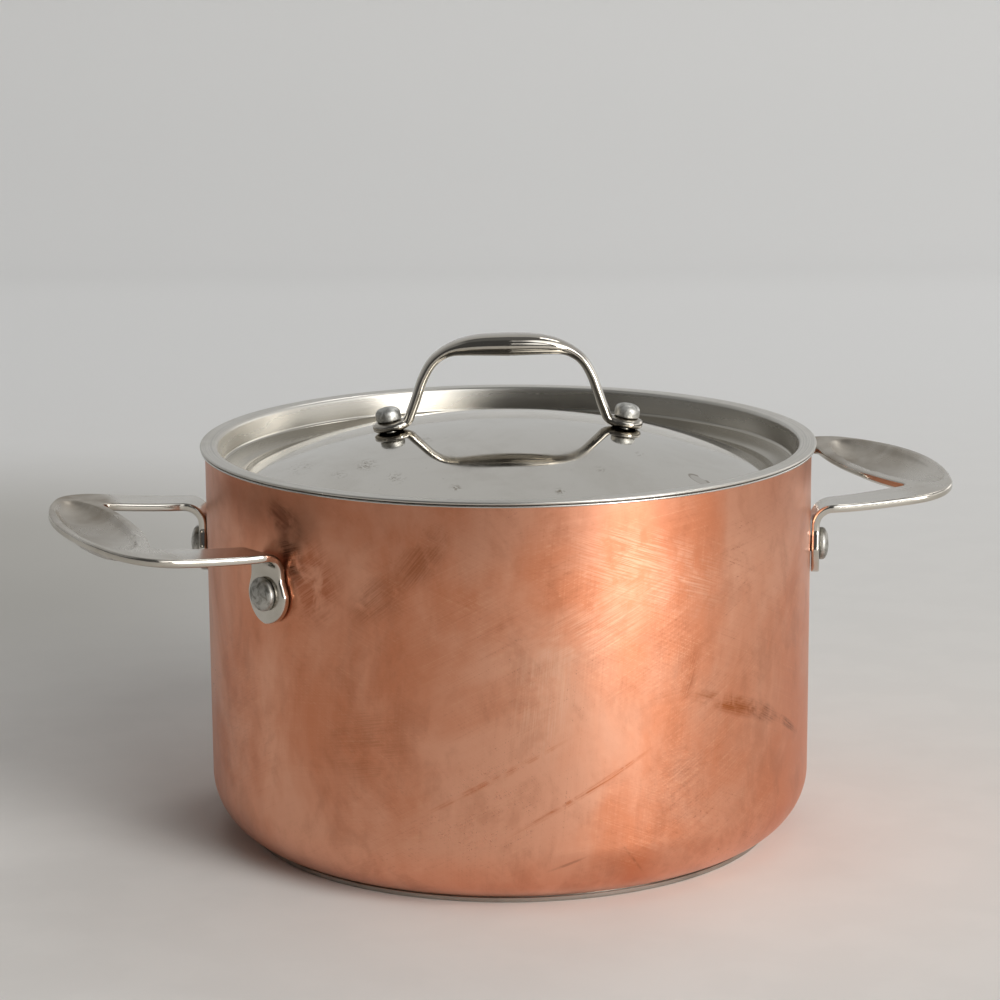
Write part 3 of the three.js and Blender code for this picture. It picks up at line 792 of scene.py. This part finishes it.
COPPER_BRIGHT = (234, 171, 141)
COPPER_MELLOW = (216, 139, 103)
COPPER_BROAD = (190, 112, 76)
COPPER_DRIFT = (160, 92, 62)
COPPER_MOTTLE = (176, 108, 76)
LINE_LIGHT = (238, 188, 152)
LINE_DARK = (170, 98, 66)
# Tone of the painted shade under the lid's rim, mixed with tarnish
COPPER_RIM_SHADE_AND_TARNISH = (152, 88, 60)
# Heights in metres over which the copper darkens under the rim: painted shade from the lid's rim, with some
# tarnish
RIM_SHADE_SPAN = (0.118, 0.152)

# Slant, length and width of each family of wiping lines, its share where it shows, and its seed
COPPER_LINES = (
    (0.50, 0.030, 0.0006, 1.0, 0.3), (-0.42, 0.026, 0.0005, 0.9, 1.7), (0.12, 0.040, 0.0007, 0.8, 3.1),
    (1.48, 0.050, 0.0006, 0.8, 4.9), (-0.9, 0.016, 0.0005, 0.6, 6.1))

# Azimuth and height on the wall, half sizes, slant, tone, share, and how little the mark is hatched
COPPER_MARKS_AND_HIGHLIGHTS = (
    (-148, 122, (20, 24), 0.6, (166, 82, 40), 0.65, 0.6),
    (-152.4, 128.6, (9, 12), 0.3, (84, 46, 30), 0.9, 0.6),
    (-154, 143, (13, 9), -0.5, (104, 58, 38), 0.75, 0.7),
    (-125.4, 134.7, (19, 9), 0.9, (150, 86, 52), 0.55, 0.5),
    (-133.9, 118.4, (17, 10), 0.7, (156, 90, 56), 0.5, 0.6),
    (-65.5, 71, (28, 5), -0.34, (166, 90, 44), 0.9, 0.6),
    (-57, 64.5, (15, 5), -0.48, (124, 64, 30), 0.8, 0.4),
    (-47, 54.5, (18, 2.4), -0.5, (128, 68, 36), 0.75, 0.4),
    (-112.4, 53, (36, 1.6), 0.5, (196, 104, 52), 0.85, 0.2),
    (-97, 46, (38, 1.5), 0.5, (190, 100, 50), 0.85, 0.2),
    (-88, 20, (16, 1.0), -0.9, (140, 80, 54), 0.4, 0.3),
    (-100, 19, (10, 0.8), 0.35, (140, 80, 54), 0.4, 0.3),
    (-76, 86, (12, 4), 1.2, (166, 98, 66), 0.6, 0.5),
    # Pale rubbed streaks that also paint highlight into the lit band
    (-84, 128, (46, 20), -0.35, (246, 208, 182), 0.32, 0.1),
    (-94, 110, (40, 16), 0.45, (246, 206, 180), 0.26, 0.1),
    (-104, 84, (34, 16), 1.48, (240, 196, 168), 0.35, 0.1),
    (-136, 62, (26, 20), 0.2, (186, 118, 84), 0.5, 0.3))


def unrolled(n):
    """(arc length, height, 0) on the pot's wall in metres, and a mask that is 0 at the seam, at the back."""
    x, y, z = n.split(n.mapping(n.place, "POINT", turn=-FRONT))
    angle = n.math("ARCTAN2", y, x)
    return n.join(n.times(angle, BODY_RADIUS * MM), z), n.ramp(n.size(angle), SEAM_END, SEAM_START)


def wall_spot(azimuth, height):
    """A place on the pot's wall in the unrolled coordinates, from degrees and millimetres."""
    return ((math.radians(azimuth) - FRONT) * BODY_RADIUS * MM, height * MM)


def copper_material():
    n = Surface("wiped_copper")
    flat, seam = unrolled(n)
    # Patina in clouds, with drawn-out vertical drifts
    cloud = n.noise(n.stretch(n.place, (1, 1, 0.8)), 15, 5, 0.6, 0.5)
    broad = n.noise(n.stretch(n.place, (1, 1, 0.5), (0.37, 0.11, 0.2)), 6.5, 2, 0.5, 0.3)
    drift = n.noise(n.stretch(n.place, (1, 1, 0.06), (0.1, 0.4, 0)), 75, 2, 0.5)
    mottle = n.noise(n.stretch(n.place, (1, 1, 0.7), (0.5, 0.2, 0.4)), 70, 6, 0.65, 0.4)
    colour = n.tint(n.ramp(cloud, 0.36, 0.66), linear(*COPPER_BRIGHT), COPPER_MELLOW)
    colour = n.tint(n.ramp(broad, 0.48, 0.72, 0.0, 0.55), colour, COPPER_BROAD)
    colour = n.tint(n.ramp(drift, 0.5, 0.85, 0.0, 0.16), colour, COPPER_DRIFT)
    colour = n.tint(n.ramp(mottle, 0.45, 0.7, 0.0, 0.3), colour, COPPER_MOTTLE)
    # Wiping lines at several slants, each in its own patches
    families = []
    for slant, length, width, share, seed in COPPER_LINES:
        line = n.minus(n.streaks(flat, length, width, slant, seed, 1.0), 0.5)
        patches = n.noise(n.stretch(n.place, move=(seed, 2 * seed, seed)), 14, 2, 0.5)
        families.append(n.times(line, n.ramp(patches, 0.38, 0.68, 0.2, share)))
    lines = n.times(n.sum(*families), seam)
    colour = n.tint(n.ramp(lines, 0.03, 0.4, 0.0, 0.3), colour, LINE_LIGHT)
    colour = n.tint(n.ramp(lines, -0.03, -0.4, 0.0, 0.22), colour, LINE_DARK)
    # Painted shade under the lid's rim, with some tarnish: the copper darkens towards the top
    _, _, up = n.split(n.place)
    colour = n.tint(n.ramp(up, *RIM_SHADE_SPAN, 0.0, 0.3), colour, COPPER_RIM_SHADE_AND_TARNISH)
    # Smears, stains and rubbed streaks where the used pot has them; the three pale marks also paint highlight
    # into the lit band
    for azimuth, height, (half_length, half_width), slant, tone, share, plain in COPPER_MARKS_AND_HIGHLIGHTS:
        mask = n.spot(flat, wall_spot(azimuth, height), (half_length * MM, half_width * MM), slant, 0.3)
        torn = n.ramp(n.noise(n.stretch(n.place, move=(azimuth, 0, 0)), 110, 4, 0.6, 0.5), 0.32, 0.58)
        hatch = n.ramp(n.streaks(flat, 0.02, 0.0006, slant, azimuth, 2.0), 0.4, 0.6, plain, 1.0)
        colour = n.tint(n.times(mask, n.times(torn, hatch), share), colour, tone)
    n.put("Base Color", colour)
    n.put("Roughness", n.sum(
        n.ramp(cloud, 0.3, 0.75, 0.30, 0.38), n.times(lines, 0.14), n.ramp(broad, 0.4, 0.7, 0.0, 0.05)))
    wave = n.noise(n.stretch(n.place, (1, 1, 0.6)), 30, 2, 0.5)
    n.bump(n.sum(n.times(lines, 0.05), n.times(wave, 1.2)), 0.0002)
    return n.material


# Steel

LID_BRIGHT = (210, 206, 198)
LID_HAZE = (194, 189, 179)
FLANGE_LINES = (190, 187, 180)
LID_SPECKS = (110, 100, 88)
# Tone of the painted shade in the lid's recessed gutter and wall
LID_RECESS_SHADE = (172, 166, 154)
SMUDGE_TONE = (112, 98, 74)
# Radii in metres over which the dome's finish turns into that of the gutter and wall, which carry painted
# shade, and into the flange's
LID_WALL_SPAN = (0.1006, 0.1024)
LID_FLANGE_SPAN = (0.1138, 0.1152)

# Centre, half sizes and share of each smudge on the lid's dome, in millimetres
LID_SMUDGES = (
    (-60.8, 35.5, 12, 14, 0.4), (-66.2, -23.3, 6, 9, 0.7), (-77.2, -24.0, 4, 6, 0.6),
    (-61.3, -44.2, 5, 8, 0.5), (-85.5, 1.0, 7, 14, 0.35), (-44.7, -65.3, 3, 4, 0.6), (-9.2, -82.0, 3, 4, 0.5),
    (12.7, -67.2, 3, 5, 0.4), (35.3, -52.1, 3, 5, 0.4), (-40, -10, 8, 12, 0.3), (30, 30, 9, 12, 0.3))

# The dried water spot, a bite out of it and its paler inside: centre, half sizes in millimetres, soft share
WATER_SPOT = ((51.2, -72.6), (3.4, 5.6), 0.85)
WATER_BITE = ((53.6, -70.4), (1.8, 2.6), 0.7)
WATER_INSIDE = ((50.9, -73.0), (2.7, 4.7), 0.8)
WATER_SLANT = 0.4

STEEL_SPECKS = (96, 88, 78)
# Tone of the painted shade on the handles' grip ends
GRIP_SHADE_BROWN = (134, 121, 103)
# Half the width in millimetres over which the grip's end begins
GRIP_END_SOFTNESS = 4


def lid_material():
    n = Surface("lid_steel")
    x, y, _ = n.split(n.place)
    radius = n.length(n.join(x, y))
    flange = n.ramp(radius, *LID_FLANGE_SPAN)
    wall = n.ramp(radius, *LID_WALL_SPAN)
    # Turning lines run round the lid
    rings = n.noise(n.join(n.times(radius, 2400.0), n.times(x, 14.0), n.times(y, 14.0)), 1.0, 3, 0.65)
    haze = n.noise(n.stretch(n.place, move=(0.3, 0.2, 0.1)), 30, 4, 0.6, 0.4)
    speck = n.noise(n.place, 700, 2, 0.6)
    colour = n.tint(n.ramp(haze, 0.4, 0.72, 0.0, 0.5), linear(*LID_BRIGHT), LID_HAZE)
    colour = n.tint(n.times(flange, n.ramp(rings, 0.4, 0.7)), colour, FLANGE_LINES)
    colour = n.tint(n.ramp(speck, 0.72, 0.78, 0.0, 0.35), colour, LID_SPECKS)
    # Painted shade: the recessed gutter and wall are darker than the dome and flange
    colour = n.tint(n.times(wall, n.ramp(flange, 0.0, 1.0, 0.75, 0.0)), colour, LID_RECESS_SHADE)

    def water(centre, half_sizes, soft):
        centre, half_sizes = ([v * MM for v in pair] for pair in (centre, half_sizes))
        return n.spot(n.place, centre, half_sizes, WATER_SLANT, soft)

    # Smudges are scribbles, where a noise crosses its middle
    hollow = n.math("MAXIMUM", water(*WATER_BITE), n.times(water(*WATER_INSIDE), 0.7))
    smudges = n.times(n.minus(water(*WATER_SPOT), hollow, clamp=True), 0.4)
    for cx, cy, sx, sy, share in LID_SMUDGES:
        wander = n.noise(n.stretch(n.place, move=(cx, cy, 0)), 260, 2, 0.5, 1.2)
        ragged = n.ramp(n.size(n.minus(wander, 0.5)), 0.035, 0.0)
        inside = n.spot(n.place, (cx * MM, cy * MM), (sx * MM, sy * MM))
        smudges = n.math("MAXIMUM", smudges, n.times(inside, ragged, share))
    colour = n.tint(n.math("MINIMUM", n.times(smudges, 1.6), 0.9), colour, SMUDGE_TONE)
    n.put("Base Color", colour)
    n.put("Roughness", n.sum(
        0.045, n.ramp(haze, 0.42, 0.75, 0.0, 0.09), n.times(wall, 0.05), n.times(flange, 0.14),
        n.times(smudges, 0.25), n.times(rings, flange, 0.14)))
    wave = n.noise(n.place, 18, 2, 0.5)
    line_height = n.sum(0.01, n.times(wall, 0.05), n.times(flange, 0.1))
    n.bump(n.sum(n.times(rings, line_height), n.times(wave, 0.25)), 0.0001)
    return n.material


def steel_material(name, light, dark, rough, edge_rough=None, ripple=0.25, seed=0.0, grip_end_from=None):
    """Polished or satin steel. The edge roughness is that of faces that don't look up or down.

    Beyond grip_end_from millimetres from the middle it is browner and, on faces that look up or down, duller,
    both more so towards the back. The browning, which grows towards the back, is painted shade.
    """
    n = Surface(name)
    where = n.stretch(n.place, move=(seed, seed, seed))
    cloud = n.noise(where, 38, 4, 0.55, 0.4)
    fine = n.noise(n.stretch(where, (1, 0.15, 1)), 1500, 2, 0.6)
    speck = n.noise(where, 640, 2, 0.6)
    tone = n.tint(n.ramp(cloud, 0.4, 0.75, 0.0, 0.7), linear(*light), dark)
    tone = n.tint(n.ramp(speck, 0.7, 0.78, 0.0, 0.4), tone, STEEL_SPECKS)
    level = rough
    if grip_end_from is not None:
        x, y, _ = n.split(n.place)
        grip_end_mask = n.ramp(n.size(x), (grip_end_from - GRIP_END_SOFTNESS) * MM, (grip_end_from + GRIP_END_SOFTNESS) * MM)
        level = n.sum(n.times(grip_end_mask, n.ramp(y, 0.015, 0.04, 0.15, 0.34)), rough)
        # Painted shade: the grip's end turns brown, more so towards the back
        back_shade = n.times(grip_end_mask, n.ramp(y, -0.03, 0.03, 0.1, 0.8), n.ramp(cloud, 0.3, 0.6, 0.5, 1.0))
        tone = n.tint(back_shade, tone, GRIP_SHADE_BROWN)
    n.put("Base Color", tone)
    if edge_rough is not None:
        _, _, up = n.split(n.normal)
        level = n.ramp(n.size(up), 0.55, 0.9, edge_rough, level)
    n.put("Roughness", n.sum(n.ramp(cloud, 0.35, 0.75, 0.0, 0.07), level, n.times(n.minus(fine, 0.5), 0.08)))
    wave = n.noise(where, 60, 2, 0.5)
    n.bump(n.sum(n.times(fine, 0.02), n.times(wave, ripple)), 0.0001)
    return n.material


def rivet_material(name, light, dark, rough):
    """Dull, lightly pitted steel."""
    n = Surface(name)
    cloud = n.noise(n.place, 300, 4, 0.65, 0.6)
    grain = n.noise(n.place, 1600, 3, 0.7)
    n.put("Base Color", n.tint(n.ramp(cloud, 0.38, 0.64), linear(*light), dark))
    n.put("Roughness", n.sum(n.ramp(grain, 0.3, 0.7, 0.0, 0.15), rough))
    n.bump(n.sum(n.times(cloud, 1.6), n.times(grain, 0.3)), 0.00012)
    return n.material


# Stage

# Where the floor begins and ends along the camera's view, its half width and the bend of its sweep, in metres
FLOOR_FRONT, FLOOR_BACK = -3.0, 1.6
FLOOR_HALF_WIDTH = 4.0
SWEEP_BEND = 0.5
SWEEP_STEPS = 24
FLOOR_TONES = ((226, 223, 218), (228, 225, 220))
# The far floor's tone is painted light, and the last tone is that of the pot's painted shadow
FAR_FLOOR_LIGHT, BACKDROP, POT_SHADOW_TONE = (238, 237, 235), (213, 212, 210), (194, 191, 184)
# Distances from the middle, away from the camera, over which the floor turns pale with painted light and then
# into the backdrop
FAR_LIGHT_SPAN, BACKDROP_SPAN = (0.0, 1.2), (1.42, 1.95)
# Centre and half sizes of the pot's painted shadow on the floor beyond the pot, to the camera's right and
# away from it
POT_SHADOW_CENTRE, POT_SHADOW_HALF_SIZES = (-0.3, 0.45), (0.35, 0.36)


def studio(right, away, up):
    """A point given along the camera's right, away from the camera, and up, in metres."""
    c, s = math.cos(CAMERA_YAW), math.sin(CAMERA_YAW)
    return (right * c + away * s, -right * s + away * c, up)


def toward(azimuth, elevation, reach=1):
    """A point at an azimuth from the camera's side and an elevation, both in degrees."""
    a, e = math.radians(azimuth), math.radians(elevation)
    return studio(reach * math.sin(a) * math.cos(e), -reach * math.cos(a) * math.cos(e), reach * math.sin(e))


def make_stage():
    """A pale floor that sweeps up into the backdrop, with the pot's shadow painted on it and its far part
    painted paler.
    """
    line = [(FLOOR_FRONT, 0.0)]
    for a in ticks(QUARTER, SWEEP_STEPS):
        line.append((FLOOR_BACK + SWEEP_BEND * math.sin(a), SWEEP_BEND * (1 - math.cos(a))))
    points = [Vector(studio(x, y, z)) / MM for y, z in line for x in (-FLOOR_HALF_WIDTH, FLOOR_HALF_WIDTH)]
    faces = [(2 * k, 2 * k + 1, 2 * k + 3, 2 * k + 2) for k in range(len(line) - 1)]
    floor = mesh_piece("floor", points, faces, 80)
    n = Surface("paper_sweep", 0.0)
    n.put("Roughness", 0.85)
    n.put("Specular IOR Level", 0.2)
    view = n.mapping(n.place, "POINT", turn=CAMERA_YAW)
    _, away, _ = n.split(view)
    colour = n.tint(n.ramp(n.noise(n.place, 30, 3, 0.5), 0.4, 0.6), linear(*FLOOR_TONES[0]), FLOOR_TONES[1])
    # Painted light: the floor grows paler away from the camera
    colour = n.tint(n.ramp(away, *FAR_LIGHT_SPAN), colour, FAR_FLOOR_LIGHT)
    # Painted shadow of the pot on the floor beyond it
    pot_shadow = n.spot(view, POT_SHADOW_CENTRE, POT_SHADOW_HALF_SIZES, soft=0.2)
    colour = n.tint(n.times(pot_shadow, 0.85), colour, POT_SHADOW_TONE)
    n.put("Base Color", n.tint(n.ramp(away, *BACKDROP_SPAN), colour, BACKDROP))
    floor.data.materials.append(n.material)


# Light

# Levels of the room and of what the camera sees behind the floor, and the room's tint
WORLD_BASE = 0.08
WORLD_SEEN = 0.58
WORLD_TINT = (0.985, 0.995, 1, 1)
# The room's soft patches, as matt and as mirror-like surfaces see them:
# azimuth from the camera's side, elevation, the cosines of its soft edge, and level
SHADING_PATCHES = (
    (42, 32, 0.9, 0.97, 3.3), (0, 90, 0.78, 0.95, 0.62), (180, 45, 0.86, 0.97, 0.25),
    (-90, 42, 0.86, 0.97, 0.15))
MIRRORED_PATCHES = (
    (45, 45, 0.9, 0.97, 2.3), (0, 90, 0.8, 0.98, 0.16), (180, 26, 0.72, 0.9, 0.58),
    (140, 26, 0.72, 0.9, 0.58), (-140, 26, 0.72, 0.9, 0.46), (-90, 40, 0.7, 0.95, 0.3),
    (18, 13, 0.982, 0.994, 1.8), (82, 10, 0.85, 0.97, 1.2), (125, 8, 0.86, 0.97, 1.2))

# Name, azimuth from the camera's side, elevation, width, height and power of each lamp round the pot
LAMPS = (
    ("key_high", 44, 30, 0.9, 0.9, 8), ("key_low", 43, 9, 0.75, 0.55, 25), ("rim", 130, 12, 0.9, 0.9, 1.6),
    ("side", 95, 58, 0.9, 0.9, 1.2))
LAMP_REACH = 2.2
LAMP_AIM = (0, 0, 0.08)
LAMP_COLOUR = (1, 0.995, 0.985)
# The lamp over the floor behind the pot
BACK_LAMP_PLACE, BACK_LAMP_AIM = studio(1.0, 1.5, 2.6), studio(0.9, 1.5, 0.0)
BACK_LAMP_SIZE, BACK_LAMP_POWER = 0.8, 10


def area_light(name, place, aim, width, height, watts, colour=(1, 1, 1)):
    light = bpy.data.lights.new(name, "AREA")
    light.shape = "RECTANGLE"
    light.size, light.size_y = width, height
    light.energy = watts
    light.color = colour
    lamp = bpy.data.objects.new(name, light)
    lamp.visible_camera = False
    direction = Vector(aim) - Vector(place)
    lamp.matrix_world = Matrix.Translation(place) @ direction.to_track_quat("-Z", "Y").to_matrix().to_4x4()
    bpy.context.scene.collection.objects.link(lamp)


def make_world():
    """A pale room for the camera, and a dim one with soft bright patches for reflections and shade."""
    world = bpy.data.worlds.new("studio")
    world.use_nodes = True
    g = Graph(world.node_tree)
    direction = g.node("TexCoord").outputs["Generated"]

    def room(patches):
        level = WORLD_BASE
        for azimuth, elevation, low, high, strength in patches:
            patch = g.ramp(g.dot(direction, toward(azimuth, elevation)), low, high, 0.0, strength)
            level = g.math("MAXIMUM", patch, level)
        return level

    def choose(share, yes, no):
        return g.sum(g.times(share, yes), g.times(g.minus(1.0, share), no))

    path = g.node("LightPath").outputs
    level = choose(path["Is Glossy Ray"], room(MIRRORED_PATCHES), room(SHADING_PATCHES))
    level = choose(path["Is Camera Ray"], WORLD_SEEN, level)
    g.link_row((WORLD_TINT, level), g.tree.nodes["Background"])
    bpy.context.scene.world = world


def make_lights():
    make_world()
    for name, azimuth, elevation, width, height, watts in LAMPS:
        area_light(name, toward(azimuth, elevation, LAMP_REACH), LAMP_AIM, width, height, watts, LAMP_COLOUR)
    area_light("back_floor", BACK_LAMP_PLACE, BACK_LAMP_AIM, BACK_LAMP_SIZE, BACK_LAMP_SIZE, BACK_LAMP_POWER)
    bpy.context.scene.view_settings.view_transform = "Standard"


make_camera()
make_stage()
make_lights()
make_body(
    copper_material(),
    steel_material("lining_steel", (206, 204, 199), (186, 183, 176), 0.22),
    steel_material("base_steel", (176, 173, 166), (140, 136, 128), 0.30, seed=0.4))
make_lid(lid_material())
make_lid_handle(steel_material("arch_steel", (190, 184, 174), (166, 158, 146), 0.05, ripple=0.12, seed=0.8))
make_rivets(
    rivet_material("wall_rivet_steel", (186, 184, 178), (128, 125, 118), 0.36),
    rivet_material("lid_rivet_steel", (206, 205, 200), (150, 148, 142), 0.38))
make_side_handles(
    steel_material("handle_steel", (206, 201, 192), (182, 175, 163), 0.12, 0.09, seed=1.3, grip_end_from=149))
